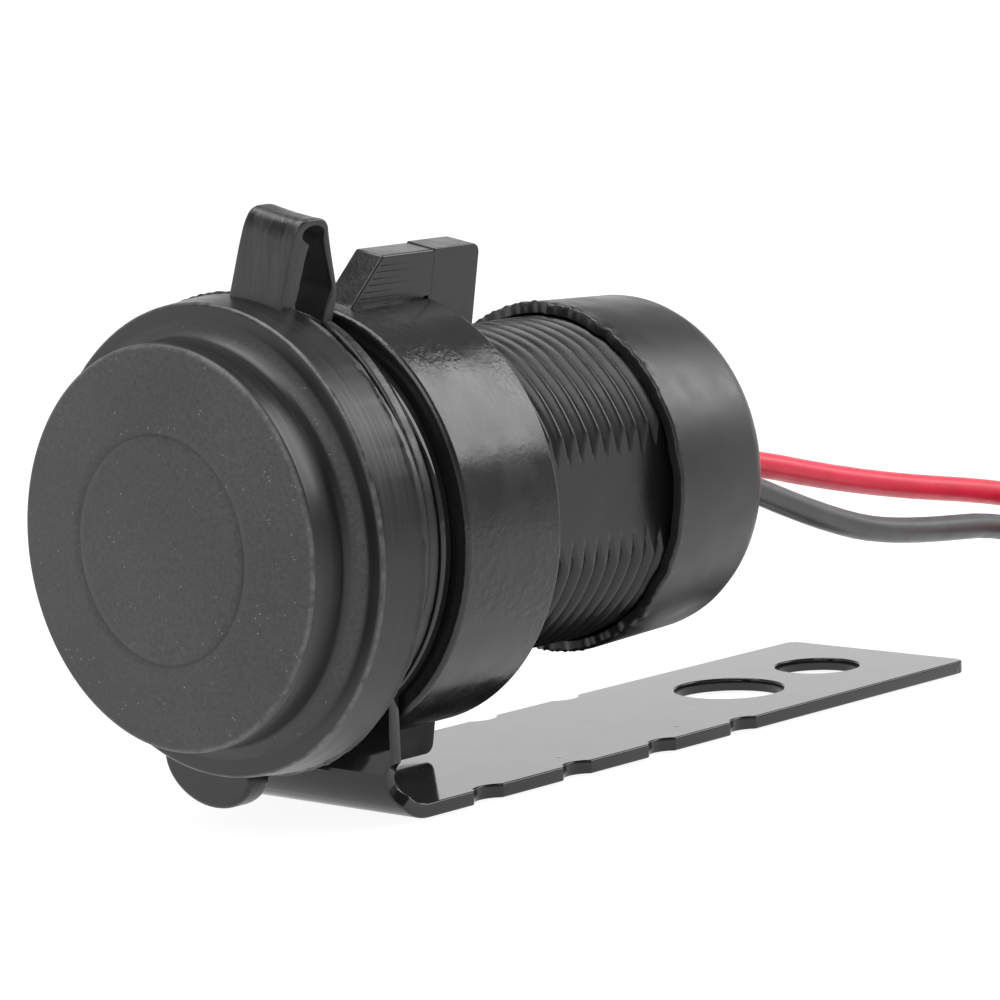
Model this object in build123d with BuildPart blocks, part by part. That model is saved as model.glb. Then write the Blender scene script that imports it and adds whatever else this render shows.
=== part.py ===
from build123d import *
import os
from math import cos, pi, radians, sin, sqrt, tan

# USB charging socket on a folded strip bracket, in millimetres.
# +Z is up, +Y runs from the capped front to the wired rear, and the origin is the centre of the
# large foot hole on the foot's underside. Axial places are counted from the bracket's front face,
# negative towards the cap, and radial ones from the socket's axis.

# Folded bracket
sheet = 1.2
axis_height = 24.0
strip_width = 21.0
head_rim = 2.7
bend_radius = 3.0
hole_reach = 56.7
large_hole_radius = 5.1
small_hole_radius = 4.0
hole_spacing = 13.4
foot_tail = 9.6
foot_corner = 1.2
notch_length = 3.6
notch_depth = 0.9
notch_pitch = 11.36
notch_start = 11.5
notch_count = 4
bend_notch_height = 3.4

# Barrel, flange and mouth
thread_radius = 14.3
thread_pitch = 1.6
thread_depth = 0.9
flat_depth = 1.2
barrel_wall = 2.9
barrel_tail = 4.0
barrel_chamfer = 0.6
flange_lip = 2.7
flange_thickness = 6.0
flange_edge = 0.5
mouth_step = 1.0
mouth_depth = 6.1
barrel_clearance = 0.2

# Rubber cap with its finger tab, strap legs, hinge loop and tether ring
cap_turn = 10.5
shoulder_width = 2.8
boss_height = 4.75
face_crown = 1.0
boss_fillet = 0.5
boss_foot_fillet = 1.6
cap_wall = 2.2
shoulder_wall = 1.8
seat_gap = 0.2
skirt_clearance = 1.1
skirt_wall = 1.2
skirt_length = 4.4
skirt_flare = 0.45
skirt_edge = 0.4
tab_half_width = 5.1
tab_reach = 3.6
tab_thickness = 2.4
ring_thickness = 1.3
ring_inset = 0.1
ring_edge = 0.3
strap_width = 5.8
front_leg_wall = 1.8
rear_leg_wall = 0.9
leg_overhang = 0.5
leg_spread = 1.7
leg_root = 1.0
leg_lift = 0.2
knee_rise = 3.6
hinge_setback = 3.0
loop_rise = 7.35
loop_wall = 0.65
loop_gap = 1.4
loop_hole_length = 2.6
loop_hole_height = 1.6
loop_corner = 1.2

# Wing nut
nut_turn = 10.1
nut_gap = 0.35
nut_length = 11.55
nut_wall = 3.8
nut_clearance = 0.3
nut_lip = 0.5
nut_edge = 0.4
wing_clearance = 0.3
wing_thickness = 3.2
wing_start = 1.25
wing_slope = 4.1
wing_root = 1.0
wing_overhang = 5.6
wing_gap = 1.1
wing_corner = 0.8

# Rear boot
boot_length = 12.8
boot_wall = 1.05
boot_taper = 0.5
boot_clearance = 0.15
boot_gap = 1.8
boot_end_wall = 2.6
boot_end_fillet = 2.2
boot_rim_edge = 0.3
wire_hole_clearance = 0.2

# Stacked USB ports, their face plate and the light pipe between them
face_thickness = 1.6
face_clearance = 0.1
port_spacing = 9.0
shell_width = 13.1
shell_height = 5.7
shell_wall = 0.3
shell_length = 11.8
shell_corner = 0.6
window_clearance = 0.1
core_clearance = 0.05
core_block_length = 4.0
tongue_width = 11.1
tongue_thickness = 1.84
tongue_recess = 0.9
tongue_offset = 0.75
contact_width = 1.0
contact_thickness = 0.3
contact_setback = 0.6
contact_places = (-3.5, -1.0, 1.0, 3.5)
pipe_radius = 0.95
pipe_clearance = 0.05
pipe_gap = 0.1
led_length = 0.6
led_width = 1.6
led_height = 0.8

# Circuit boards and what is soldered to them
board_thickness = 1.2
board_clearance = 0.2
board_margin = 1.0
converter_top = -1.6
drum_gap = 2.05
drum_radius = 4.75
drum_neck_radius = 2.5
drum_height = 6.5
drum_flange = 1.2
winding_inset = 0.4
winding_clearance = 0.05
can_gap = 2.8
can_spacing = 8.4
can_radius = 3.15
can_height = 7.7
can_edge = 0.4
can_groove = 0.25
can_groove_height = 1.1
chip_length = 5.0
chip_width = 3.9
chip_height = 1.5
chip_bevel = 0.3
chip_leads = 4
lead_pitch = 1.27
lead_width = 0.42
lead_reach = 1.0
lead_height = 0.5
diode_length = 4.3
diode_width = 2.6
diode_height = 2.2
diode_bevel = 0.3
solder_gap = 1.25
solder_length = 2.2
solder_width = 2.6
solder_height = 1.7
solder_taper = 20

# Twin leads, their coils and the tie round both coils
wire_radius = 1.25
wire_spacing = 5.0
wire_tail = 2.2
bend_share = 0.45
coil_radius = 12.5
coil_half_width = 3.85
coil_height = 5.1
coil_fillet = 1.0
coil_centre = (12.8, 69.4)
tie_width = 3.0
tie_thickness = 0.6
tie_gap = 0.3

# Radii worked out from the sizes above
notch_radius = (notch_length**2 / 4 + notch_depth**2) / (2 * notch_depth)
notch_offset = strip_width / 2 - notch_depth + notch_radius
thread_root = thread_radius - thread_depth
flat_distance = thread_radius - flat_depth
barrel_bore = thread_radius - barrel_wall
mouth_radius = barrel_bore + mouth_step
flange_radius = thread_radius + flange_lip
head_radius = thread_radius + head_rim
sleeve_radius = thread_radius + barrel_clearance
ring_radius = flange_radius - ring_inset
skirt_inner = flange_radius + skirt_clearance
skirt_outer = skirt_inner + skirt_wall
boss_radius = skirt_outer - shoulder_width
nut_bore = thread_radius + nut_clearance
nut_radius = nut_bore + nut_wall
wing_tip = axis_height - sheet - wing_clearance
wing_inner = thread_radius + wing_gap
boot_bore = thread_radius + boot_clearance
boot_radius = boot_bore + boot_wall
loop_top = skirt_outer + loop_rise
hinge_radius = loop_top - loop_wall - loop_hole_height / 2
leg_top = hinge_radius - loop_hole_height / 2

# Axial places worked out from the sizes above
plate_y = -hole_reach
foot_rear = hole_reach + hole_spacing + foot_tail
flange_back = -ring_thickness
flange_front = flange_back - flange_thickness
shoulder_back = flange_front - seat_gap
shoulder_front = shoulder_back - shoulder_wall
cap_rim = shoulder_front - boss_height
cap_face = cap_rim - face_crown
skirt_end = shoulder_front + skirt_length
hinge_place = -hinge_setback
front_leg_back = hinge_place - loop_gap / 2
rear_leg_front = hinge_place + loop_gap / 2
nut_front = sheet + nut_gap
nut_rear = nut_front + nut_length
mouth_shoulder = flange_front + mouth_depth
face_front = mouth_shoulder - face_thickness
shell_end = face_front + shell_length
core_front = shell_end - core_block_length
tongue_length = core_front - face_front - tongue_recess
converter_start = shell_end + board_thickness
drum_centre = converter_start + drum_gap + drum_radius
can_centre = drum_centre + drum_radius + can_gap + can_radius
solder_centre = can_centre + can_radius + solder_gap + solder_length / 2
wire_start = solder_centre + solder_length / 2
converter_end = wire_start + wire_tail
converter_length = converter_end - converter_start
barrel_end = converter_end + barrel_tail
boot_end = barrel_end + boot_gap + boot_end_wall
boot_start = boot_end - boot_length
thread_turns = int((boot_start - sheet) / thread_pitch)

# Heights from the socket's axis
converter_bottom = converter_top - board_thickness
converter_width = 2 * sqrt((barrel_bore - board_margin) ** 2 - converter_bottom**2)
wire_height = converter_top + wire_radius
ports = {"upper": port_spacing / 2, "lower": -port_spacing / 2}

socket_axis = Axis((0, plate_y, axis_height), (0, 1, 0))

# Routes of the two leads: along the axis out of the boot, down in a slack curve, and into the coils
red_route = [
    (-wire_spacing / 2, plate_y + wire_start, axis_height + wire_height),
    (-2.5, -2.0, 23.65),
    (-2.4, 24.0, 17.1),
    (-2.3, 50.0, 13.0),
    (-2.25, 60.0, 9.5),
    (-2.25, 69.4, 9.5),
]
black_route = [
    (wire_spacing / 2, plate_y + wire_start, axis_height + wire_height),
    (2.5, -8.2, 23.65),
    (2.5, 13.5, 14.95),
    (2.4, 24.6, 12.6),
    (1.0, 45.0, 10.9),
    (-2.25, 58.0, 4.4),
    (-2.25, 69.4, 4.4),
]


def side_plane(turn=0.0):
    """Plane through the axis: local x runs rearwards and local y outwards, at a turn from the top."""
    angle = radians(turn)
    return Plane(
        origin=(0, plate_y, axis_height),
        x_dir=(0, 1, 0),
        z_dir=(cos(angle), 0, -sin(angle)),
    )


def cross_plane(place, turn=0.0):
    """Plane square to the axis that faces the front: local y points up, turned about the axis."""
    angle = radians(turn)
    return Plane(
        origin=(0, plate_y + place, axis_height),
        x_dir=(cos(angle), 0, -sin(angle)),
        z_dir=(0, -1, 0),
    )


def board_plane(place, across=0.0, height=converter_top, up=True):
    """Plane that lies level: local x runs rearwards, and it faces up or down."""
    return Plane(
        origin=(across, plate_y + place, axis_height + height),
        x_dir=(0, 1, 0),
        z_dir=(0, 0, 1 if up else -1),
    )


def corner_radii(route):
    """Tangent arc at each corner of a route that takes its share of the shorter run beside it."""
    radii = []
    for before, corner, after in zip(route, route[1:], route[2:]):
        run_in = Vector(corner) - Vector(before)
        run_out = Vector(after) - Vector(corner)
        half_turn = radians(run_in.get_angle(run_out) / 2)
        radii.append(bend_share * min(run_in.length, run_out.length) / tan(half_turn))
    return radii


def write(part, label):
    """Label a finished piece and write its file."""
    part.label = label
    export_step(part, f"parts/{label}.step")


os.makedirs("parts", exist_ok=True)

# Bracket: one folded strip with a round head about the barrel and shallow round notches in both edges
with BuildPart() as mounting_bracket:
    with BuildSketch(side_plane()) as fold:
        with BuildLine():
            Polyline(
                (0, 0),
                (0, -axis_height),
                (foot_rear, -axis_height),
                (foot_rear, sheet - axis_height),
                (sheet, sheet - axis_height),
                (sheet, 0),
                close=True,
            )
        make_face()
        fillet(fold.vertices().sort_by_distance((0, -axis_height))[0], bend_radius + sheet)
        fillet(fold.vertices().sort_by_distance((sheet, sheet - axis_height))[0], bend_radius)
    extrude(amount=strip_width / 2, both=True)
    with BuildSketch(cross_plane(0)):
        Circle(head_radius)
    extrude(amount=-sheet)
    with BuildSketch(cross_plane(0)):
        Circle(sleeve_radius)
    extrude(amount=-sheet, mode=Mode.SUBTRACT)
    with Locations((0, 0, sheet)):
        Hole(large_hole_radius)
    with Locations((0, hole_spacing, sheet)):
        Hole(small_hole_radius)
    with BuildSketch(Plane.XY):
        for step in range(notch_count):
            for side in (-1, 1):
                with Locations((side * notch_offset, plate_y + notch_start + step * notch_pitch)):
                    Circle(notch_radius)
    extrude(amount=sheet, mode=Mode.SUBTRACT)
    with BuildSketch(cross_plane(0)):
        for side in (-1, 1):
            with Locations((side * notch_offset, bend_notch_height - axis_height)):
                Circle(notch_radius)
    extrude(amount=-(bend_radius + sheet), mode=Mode.SUBTRACT)
    fillet(mounting_bracket.edges().filter_by(Axis.Z).group_by(Axis.Y)[-1], foot_corner)
write(mounting_bracket.part, "mounting_bracket")

# Socket body: flange, barrel with two flats and its thread as plain rings, and the mouth for the face plate
with BuildPart() as socket_body:
    rings = [(sheet, thread_radius)]
    for turn in range(thread_turns):
        rings.append((sheet + (turn + 0.5) * thread_pitch, thread_root))
        rings.append((sheet + (turn + 1) * thread_pitch, thread_radius))
    with BuildSketch(side_plane()):
        with BuildLine():
            Polyline(
                (flange_front, mouth_radius),
                (flange_front, flange_radius - flange_edge),
                (flange_front + flange_edge, flange_radius),
                (flange_back, flange_radius),
                (flange_back, thread_radius),
                *rings,
                (barrel_end - barrel_chamfer, thread_radius),
                (barrel_end, thread_radius - barrel_chamfer),
                (barrel_end, barrel_bore),
                (mouth_shoulder, barrel_bore),
                (mouth_shoulder, mouth_radius),
                close=True,
            )
        make_face()
    revolve(axis=socket_axis)
    with BuildSketch(cross_plane(0)):
        for side in (-1, 1):
            with Locations((side * (flat_distance + thread_radius), 0)):
                Rectangle(2 * thread_radius, 2 * thread_radius)
    extrude(amount=-barrel_end, mode=Mode.SUBTRACT)
write(socket_body.part, "socket_body")

# Rubber cap: stepped cup with a crowned face, the finger tab below and the front strap leg above
with BuildPart() as dust_cap:
    with BuildSketch(side_plane(cap_turn)) as cup:
        with BuildLine():
            TangentArc((cap_face, 0), (cap_rim, boss_radius), tangent=(0, 1))
            Polyline(
                (cap_rim, boss_radius),
                (shoulder_front, boss_radius),
                (shoulder_front, skirt_outer),
                (skirt_end, skirt_outer + skirt_flare),
                (skirt_end, skirt_inner + skirt_flare / 2),
                (shoulder_back, skirt_inner),
                (shoulder_back, boss_radius - cap_wall),
                (cap_rim + cap_wall, boss_radius - cap_wall),
                (cap_rim + cap_wall, 0),
                (cap_face, 0),
            )
        make_face()
        fillet(cup.vertices().sort_by_distance((cap_rim, boss_radius))[0], boss_fillet)
        fillet(cup.vertices().sort_by_distance((shoulder_front, boss_radius))[0], boss_foot_fillet)
        fillet(cup.vertices().sort_by_distance((shoulder_front, skirt_outer))[0], skirt_edge)
    revolve(axis=socket_axis)
    with BuildSketch(side_plane(cap_turn)):
        with BuildLine():
            Polyline(
                (skirt_end + leg_overhang - front_leg_wall, skirt_inner + skirt_flare),
                (front_leg_back - front_leg_wall, leg_top),
                (front_leg_back, leg_top),
                (skirt_end + leg_overhang, skirt_outer),
                (skirt_end + leg_overhang, skirt_inner + skirt_flare),
                close=True,
            )
        make_face()
    extrude(amount=strap_width / 2, both=True)
    with BuildSketch(cross_plane(skirt_end, cap_turn)):
        with Locations((0, -skirt_outer)):
            Ellipse(tab_half_width, tab_reach)
        Circle(skirt_inner + skirt_flare, mode=Mode.SUBTRACT)
    extrude(amount=tab_thickness)
write(dust_cap.part, "dust_cap")

# Hinge loop: the round eye where the strap folds back on itself
with BuildPart() as hinge_loop:
    with BuildSketch(side_plane(cap_turn)) as eye:
        loop_half = loop_hole_length / 2 + loop_wall
        with BuildLine():
            Polyline(
                (front_leg_back - front_leg_wall, leg_top),
                (hinge_place - loop_half, loop_top),
                (hinge_place + loop_half, loop_top),
                (rear_leg_front + rear_leg_wall, leg_top),
                close=True,
            )
        make_face()
        fillet(eye.vertices().group_by(Axis.Y)[-1], loop_corner)
        with Locations((hinge_place, hinge_radius)):
            Ellipse(loop_hole_length / 2, loop_hole_height / 2, mode=Mode.SUBTRACT)
        with Locations((hinge_place, leg_top)):
            Rectangle(loop_gap, loop_hole_height, mode=Mode.SUBTRACT)
    extrude(amount=strap_width / 2, both=True)
write(hinge_loop.part, "hinge_loop")

# Tether: the ring clamped behind the flange, with the rear strap leg
with BuildPart() as cap_tether:
    with BuildSketch(side_plane(cap_turn)) as band:
        with Locations((-ring_thickness / 2, (ring_radius + sleeve_radius) / 2)):
            Rectangle(ring_thickness, ring_radius - sleeve_radius)
        fillet(band.vertices().group_by(Axis.Y)[-1], ring_edge)
    revolve(axis=socket_axis)
    with BuildSketch(side_plane(cap_turn)):
        with BuildLine():
            Polyline(
                (-ring_thickness, ring_radius - leg_root),
                (rear_leg_front + leg_spread, ring_radius + knee_rise),
                (rear_leg_front, leg_top),
                (rear_leg_front + rear_leg_wall, leg_top),
                (rear_leg_front + rear_leg_wall + leg_spread, ring_radius + knee_rise),
                (0, head_radius + leg_lift),
                (0, ring_radius - leg_root),
                close=True,
            )
        make_face()
    extrude(amount=strap_width / 2, both=True)
write(cap_tether.part, "cap_tether")

# Wing nut: thick ring with a rounded front lip and two fins that overhang its rear face
with BuildPart() as wing_nut:
    with BuildSketch(side_plane(nut_turn)) as collar:
        with Locations(((nut_front + nut_rear) / 2, (nut_radius + nut_bore) / 2)):
            Rectangle(nut_length, nut_radius - nut_bore)
        fillet(collar.vertices().sort_by_distance((nut_front, nut_radius))[0], nut_lip)
        fillet(collar.vertices().sort_by_distance((nut_rear, nut_radius))[0], nut_edge)
    revolve(axis=socket_axis)
    with BuildSketch(side_plane(nut_turn)) as fins:
        with BuildLine():
            Polyline(
                (nut_front + wing_start, nut_radius - wing_root),
                (nut_front + wing_start + wing_slope, wing_tip),
                (nut_rear + wing_overhang, wing_tip),
                (nut_rear + wing_overhang, wing_inner),
                (nut_rear - wing_root, wing_inner),
                close=True,
            )
        make_face()
        fillet(fins.vertices().sort_by_distance((nut_rear + wing_overhang, wing_tip))[0], wing_corner)
        mirror(about=Plane.XZ)
    extrude(amount=wing_thickness / 2, both=True)
write(wing_nut.part, "wing_nut")

# Rear boot: soft cup over the barrel's end, with a hole for each lead
with BuildPart() as rear_boot:
    with BuildSketch(side_plane()) as sleeve:
        with BuildLine():
            Polyline(
                (boot_start, boot_bore),
                (boot_start, boot_radius),
                (boot_end, boot_radius - boot_taper),
                (boot_end, 0),
                (boot_end - boot_end_wall, 0),
                (boot_end - boot_end_wall, boot_bore),
                close=True,
            )
        make_face()
        fillet(sleeve.vertices().sort_by_distance((boot_start, boot_radius))[0], boot_rim_edge)
        fillet(
            sleeve.vertices().sort_by_distance((boot_end, boot_radius - boot_taper))[0],
            boot_end_fillet,
        )
    revolve(axis=socket_axis)
    with BuildSketch(cross_plane(boot_end)):
        with Locations((-wire_spacing / 2, wire_height), (wire_spacing / 2, wire_height)):
            Circle(wire_radius + wire_hole_clearance)
    extrude(amount=boot_end_wall, mode=Mode.SUBTRACT)
write(rear_boot.part, "rear_boot")

# Face plate: disc on the mouth's shoulder with a window for each port and one for the light pipe
with BuildPart() as face_plate:
    with BuildSketch(cross_plane(face_front)):
        Circle(mouth_radius - face_clearance)
        for height in ports.values():
            with Locations((0, height)):
                RectangleRounded(
                    shell_width + 2 * window_clearance,
                    shell_height + 2 * window_clearance,
                    shell_corner + window_clearance,
                    mode=Mode.SUBTRACT,
                )
        Circle(pipe_radius + pipe_clearance, mode=Mode.SUBTRACT)
    extrude(amount=-face_thickness)
write(face_plate.part, "face_plate")

# Each port: folded steel shell, plastic core with its tongue, and four contact strips
for port, height in ports.items():
    with BuildPart() as usb_shell:
        with BuildSketch(cross_plane(face_front)):
            with Locations((0, height)):
                RectangleRounded(shell_width, shell_height, shell_corner)
                RectangleRounded(
                    shell_width - 2 * shell_wall,
                    shell_height - 2 * shell_wall,
                    shell_corner - shell_wall,
                    mode=Mode.SUBTRACT,
                )
        extrude(amount=-shell_length)
    write(usb_shell.part, f"usb_shell_{port}")

    with BuildPart() as usb_core:
        with BuildSketch(cross_plane(shell_end)):
            with Locations((0, height)):
                RectangleRounded(
                    shell_width - 2 * shell_wall - 2 * core_clearance,
                    shell_height - 2 * shell_wall - 2 * core_clearance,
                    shell_corner - shell_wall,
                )
        extrude(amount=core_block_length)
        with BuildSketch(cross_plane(core_front)):
            with Locations((0, height + tongue_offset)):
                Rectangle(tongue_width, tongue_thickness)
        extrude(amount=tongue_length)
    write(usb_core.part, f"usb_core_{port}")

    with BuildPart() as usb_contacts:
        contact_height = height + tongue_offset - tongue_thickness / 2 - contact_thickness / 2
        with BuildSketch(cross_plane(core_front)):
            with Locations([(across, contact_height) for across in contact_places]):
                Rectangle(contact_width, contact_thickness)
        extrude(amount=tongue_length - contact_setback)
    write(usb_contacts.part, f"usb_contacts_{port}")

# Front board: round board that carries both ports, with the indicator lamp and its light pipe
with BuildPart() as front_board:
    with BuildSketch(cross_plane(shell_end)):
        Circle(barrel_bore - board_clearance)
    extrude(amount=-board_thickness)
write(front_board.part, "front_board")

with BuildPart() as indicator_lamp:
    with BuildSketch(cross_plane(shell_end)):
        Rectangle(led_width, led_height)
    extrude(amount=led_length)
write(indicator_lamp.part, "indicator_lamp")

with BuildPart() as light_pipe:
    with BuildSketch(cross_plane(face_front)):
        Circle(pipe_radius)
    extrude(amount=-(shell_length - led_length - pipe_gap))
write(light_pipe.part, "light_pipe")

# Converter board: lies behind the front board and carries the voltage converter
with BuildPart() as converter_board:
    with BuildSketch(board_plane(converter_start, height=converter_bottom)):
        Rectangle(converter_length, converter_width, align=(Align.MIN, Align.CENTER))
    extrude(amount=board_thickness)
write(converter_board.part, "converter_board")

# Choke: ferrite drum with its copper winding between the flanges
winding_length = drum_height - 2 * drum_flange
with BuildPart() as choke_drum:
    with BuildSketch(board_plane(drum_centre)):
        Circle(drum_radius)
    extrude(amount=drum_flange)
    with BuildSketch(board_plane(drum_centre, height=converter_top + drum_flange)):
        Circle(drum_neck_radius)
    extrude(amount=winding_length)
    with BuildSketch(board_plane(drum_centre, height=converter_top + drum_height - drum_flange)):
        Circle(drum_radius)
    extrude(amount=drum_flange)
write(choke_drum.part, "choke_drum")

with BuildPart() as choke_winding:
    with BuildSketch(board_plane(drum_centre, height=converter_top + drum_flange)):
        Circle(drum_radius - winding_inset)
        Circle(drum_neck_radius + winding_clearance, mode=Mode.SUBTRACT)
    extrude(amount=winding_length)
write(choke_winding.part, "choke_winding")

# Capacitors: aluminium cans with a rolled groove near the foot
for label, side in (("input_capacitor", 1), ("output_capacitor", -1)):
    can_foot = Vector(
        side * can_spacing / 2, plate_y + can_centre, axis_height + converter_top
    )
    with BuildPart() as capacitor:
        with BuildSketch(Plane(origin=can_foot, x_dir=(1, 0, 0), z_dir=(0, -1, 0))):
            with BuildLine():
                Polyline(
                    (0, 0),
                    (can_radius, 0),
                    (can_radius, can_groove_height - can_groove),
                    (can_radius - can_groove, can_groove_height),
                    (can_radius, can_groove_height + can_groove),
                    (can_radius, can_height - can_edge),
                    (can_radius - can_edge, can_height),
                    (0, can_height),
                    close=True,
                )
            make_face()
        revolve(axis=Axis(can_foot, (0, 0, 1)))
    write(capacitor.part, label)

# Regulator chip and diode: under the converter board
with BuildPart() as regulator_chip:
    with BuildSketch(board_plane(drum_centre, height=converter_bottom, up=False)):
        Rectangle(chip_length, chip_width)
    extrude(amount=chip_height)
    chamfer(regulator_chip.faces().sort_by(Axis.Z)[0].edges(), chip_bevel)
    with BuildSketch(board_plane(drum_centre, height=converter_bottom, up=False)):
        for side in (-1, 1):
            with Locations((0, side * (chip_width + lead_reach) / 2)):
                with GridLocations(lead_pitch, 1, chip_leads, 1):
                    Rectangle(lead_width, lead_reach)
    extrude(amount=lead_height)
write(regulator_chip.part, "regulator_chip")

with BuildPart() as diode:
    with BuildSketch(board_plane(can_centre, height=converter_bottom, up=False)):
        Rectangle(diode_length, diode_width)
    extrude(amount=diode_height)
    chamfer(diode.faces().sort_by(Axis.Z)[0].edges(), diode_bevel)
write(diode.part, "diode")

# Solder joints: one blob in front of each lead's end
with BuildPart() as solder_joints:
    for side in (-1, 1):
        with BuildSketch(board_plane(solder_centre, side * wire_spacing / 2)):
            Ellipse(solder_length / 2, solder_width / 2)
        extrude(amount=solder_height, taper=solder_taper)
write(solder_joints.part, "solder_joints")

# Leads: a round wire along each route
for label, route in (("red_wire", red_route), ("black_wire", black_route)):
    radii = corner_radii(route)
    with BuildPart() as wire:
        with BuildLine() as path:
            FilletPolyline(*route, radius=radii)
        with BuildSketch(Plane(origin=path.line @ 0, z_dir=path.line % 0)):
            Circle(wire_radius)
        sweep()
    run_length = sum(edge.length for edge in path.edges())
    swept = pi * wire_radius**2 * run_length
    print(label, "corner radii", [round(radius, 1) for radius in radii])
    print(label, "length", round(run_length, 1), "volume share", round(wire.part.volume / swept, 4))
    write(wire.part, label)

# Coils: the rest of each lead, wound into a flat ring, the red one on the black one
coil_x, coil_y = coil_centre
for label, layer in (("black_coil", 0), ("red_coil", 1)):
    with BuildPart() as coil:
        with BuildSketch(Plane(origin=(coil_x, coil_y, 0), x_dir=(1, 0, 0), z_dir=(0, -1, 0))):
            with Locations((coil_radius, tie_thickness + (layer + 0.5) * coil_height)):
                RectangleRounded(2 * coil_half_width, coil_height, coil_fillet)
        revolve(axis=Axis((coil_x, coil_y, 0), (0, 0, 1)))
    write(coil.part, label)

# Tie: a flat band round both coils
with BuildPart() as lead_tie:
    with BuildSketch(Plane(origin=(coil_x + coil_radius, coil_y, 0), x_dir=(1, 0, 0), z_dir=(0, -1, 0))):
        hold_width = 2 * (coil_half_width + tie_gap)
        hold_height = 2 * coil_height + tie_gap
        with Locations((0, tie_thickness + hold_height / 2)):
            Rectangle(hold_width + 2 * tie_thickness, hold_height + 2 * tie_thickness)
            Rectangle(hold_width, hold_height, mode=Mode.SUBTRACT)
    extrude(amount=tie_width / 2, both=True)
write(lead_tie.part, "lead_tie")
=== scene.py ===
from math import asin, atan2, cos, exp, hypot, pi, radians, sin, sqrt, tan

import bmesh
import bpy
from mathutils import Matrix, Vector, noise


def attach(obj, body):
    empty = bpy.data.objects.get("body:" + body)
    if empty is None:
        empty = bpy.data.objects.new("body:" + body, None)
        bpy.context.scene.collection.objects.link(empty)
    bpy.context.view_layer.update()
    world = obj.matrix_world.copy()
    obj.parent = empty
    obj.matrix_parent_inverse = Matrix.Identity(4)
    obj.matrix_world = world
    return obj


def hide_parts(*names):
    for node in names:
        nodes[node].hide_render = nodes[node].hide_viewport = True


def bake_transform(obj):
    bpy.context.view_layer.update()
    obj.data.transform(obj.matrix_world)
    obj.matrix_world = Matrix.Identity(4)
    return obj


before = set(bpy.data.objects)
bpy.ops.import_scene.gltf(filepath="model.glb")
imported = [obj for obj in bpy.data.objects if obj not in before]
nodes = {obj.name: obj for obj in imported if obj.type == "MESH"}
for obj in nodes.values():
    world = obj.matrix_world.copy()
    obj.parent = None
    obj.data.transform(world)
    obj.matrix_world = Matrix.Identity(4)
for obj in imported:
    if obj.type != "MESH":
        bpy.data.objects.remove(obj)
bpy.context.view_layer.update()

# USB charging socket on a strip bracket, dressed for looks. Shapes are written in millimetres and
# turned into metres where a mesh or curve is made. A place is counted along the socket's axis from
# the bracket's front face, negative towards the cap, and an angle runs from the top towards +X.
MM = 0.001
PLATE_Y = -56.7
AXIS_Z = 24.0
CAP_TURN = radians(10.5)
NUT_TURN = radians(10.1)
NUT_RADIUS = 18.4


# Mesh helpers

def on_axis(place, radius, angle):
    """Point at a place along the axis, a distance from it and an angle round it."""
    return (radius * sin(angle), PLATE_Y + place, AXIS_Z + radius * cos(angle))


def turned(place, out, across, turn):
    """Point in the plane through the axis at a turn: out from the axis, and across that plane."""
    return (
        out * sin(turn) + across * cos(turn),
        PLATE_Y + place,
        AXIS_Z + out * cos(turn) - across * sin(turn),
    )


def soften(obj, crease=40):
    """Smooth shading that keeps the edges sharper than the crease angle."""
    mesh = obj.data
    mesh.shade_smooth()
    mesh.set_sharp_from_angle(angle=radians(crease))
    return obj


def new_object(name, data):
    """Object in the scene that shows a mesh, curve, light or camera."""
    obj = bpy.data.objects.new(name, data)
    bpy.context.collection.objects.link(obj)
    return obj


def solid(name, points, faces, crease=40):
    """Closed mesh from points in millimetres, with its faces turned outwards."""
    mesh = bpy.data.meshes.new(name)
    mesh.from_pydata([tuple(value * MM for value in point) for point in points], [], faces)
    work = bmesh.new()
    work.from_mesh(mesh)
    bmesh.ops.remove_doubles(work, verts=work.verts, dist=1e-7)
    bmesh.ops.recalc_face_normals(work, faces=work.faces)
    work.to_mesh(mesh)
    work.free()
    return soften(new_object(name, mesh), crease)


def rounded(corners, steps):
    """Closed outline through corners of (x, y, fillet radius), each replaced by an arc of that radius."""
    outline = []
    count = len(corners)
    for index, (x, y, radius) in enumerate(corners):
        if radius == 0:
            outline.append((x, y))
            continue
        corner = Vector((x, y))
        run_in = corner - Vector(corners[index - 1][:2])
        run_out = Vector(corners[(index + 1) % count][:2]) - corner
        run_in.normalize()
        run_out.normalize()
        half = run_in.angle(run_out) / 2
        inward = run_out - run_in
        centre = corner + inward.normalized() * radius / cos(half)
        spoke = corner - run_in * radius * tan(half) - centre
        sense = 1 if run_in.cross(run_out) > 0 else -1
        for step in range(steps + 1):
            angle = sense * 2 * half * step / steps
            outline.append((
                centre.x + spoke.x * cos(angle) - spoke.y * sin(angle),
                centre.y + spoke.x * sin(angle) + spoke.y * cos(angle),
            ))
    return outline


def lathe(name, profile, segments, shape=on_axis, crease=40):
    """Profile of (place, radius) turned about the socket's axis. A profile that starts and ends on
    the axis is closed by it, and any other closes on itself. shape gives each point its position."""
    points, rings = [], []
    for place, radius in profile:
        if radius == 0:
            rings.append([len(points)] * segments)
            points.append(on_axis(place, 0, 0))
            continue
        rings.append(list(range(len(points), len(points) + segments)))
        points += [shape(place, radius, 2 * pi * column / segments) for column in range(segments)]
    pairs = list(zip(rings, rings[1:]))
    if profile[0][1] != 0:
        pairs.append((rings[-1], rings[0]))
    faces = []
    for first, second in pairs:
        for column in range(segments):
            after = (column + 1) % segments
            corners = [first[column], first[after], second[after], second[column]]
            face = list(dict.fromkeys(corners))
            if len(face) > 2:
                faces.append(face)
    return solid(name, points, faces, crease)


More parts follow.
